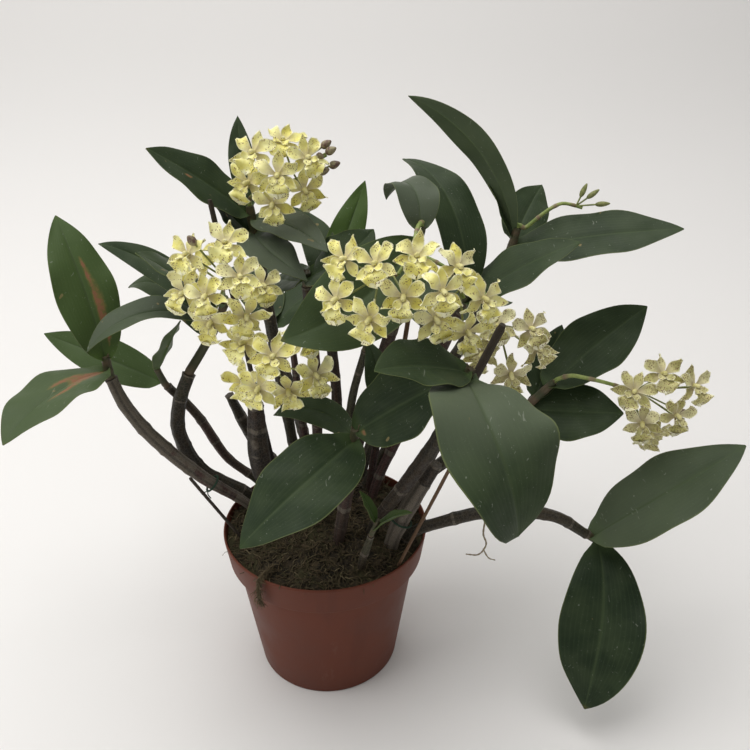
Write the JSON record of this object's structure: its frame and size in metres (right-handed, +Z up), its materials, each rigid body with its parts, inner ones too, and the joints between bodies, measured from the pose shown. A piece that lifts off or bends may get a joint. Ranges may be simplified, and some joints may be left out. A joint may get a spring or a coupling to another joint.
{
  "type": "potted dendrobium orchid",
  "caption": "Dendrobium orchid in a round plastic pot: ribbed canes with leathery leaves and pale yellow speckled flower sprays",
  "frame": {"origin": "Centre of the pot's flat underside, on the surface the pot stands on", "axes": "+Z is up along the pot's axis, +X is to the viewer's right and +Y leads away from the viewer"},
  "size_m": [0.4872, 0.3441, 0.4125],
  "materials": {
    "terracotta_plastic": "matt moulded plastic, reddish brown",
    "bark": "rough bark chips and moss",
    "cane": "ribbed, dry and papery, partly green and purple",
    "leaf": "leathery, dark green, satin",
    "petal": "waxy, pale yellow with brown-purple specks",
    "stake": "weathered, dark",
    "twine": "dull green twine",
    "moss": "dry moss",
    "dry_root": "thin, dry and pale"
  },
  "bodies": {
    "root": {"pot": "terracotta_plastic", "substrate": "bark", "cane_left_outer": "cane", "cane_left_inner": "cane", "cane_left_arched": "cane", "cane_old_left": "cane", "cane_old_trunk": "cane", "cane_front": "cane", "cane_front_right": "cane", "cane_front_shoot": "cane", "cane_right_long": "cane", "cane_old_right": "cane", "cane_right": "cane", "cane_centre_right": "cane", "cane_tall_right": "cane", "cane_tall_centre": "cane", "cane_centre": "cane", "cane_centre_back": "cane", "cane_tall_left": "cane", "cane_slim_left": "cane", "cane_slim_middle": "cane", "cane_slim_right": "cane", "cane_back_left": "cane", "cane_back_right": "cane", "foliage_left_outer": "leaf", "foliage_left_inner": "leaf", "foliage_left_arched": "leaf", "foliage_front": "leaf", "foliage_front_right": "leaf", "foliage_front_shoot": "leaf", "foliage_right_long": "leaf", "foliage_right": "leaf", "foliage_centre_right": "leaf", "foliage_tall_right": "leaf", "foliage_tall_centre": "leaf", "foliage_centre": "leaf", "foliage_centre_back": "leaf", "foliage_tall_left": "leaf", "foliage_slim_middle": "leaf", "foliage_back_left": "leaf", "foliage_back_right": "leaf", "spray_upper_left": "petal", "spray_left": "petal", "spray_lower_left": "petal", "spray_centre": "petal", "spray_right": "petal", "spray_far_right": "petal", "spray_top_right": "petal", "stake_left": "stake", "stake_right": "stake", "stake_centre": "stake", "stick_left": "stake", "stick_front": "stake", "tie_left": "twine", "tie_right": "twine", "moss_tuft": "moss", "dry_root": "dry_root"}
  },
  "joints": []
}
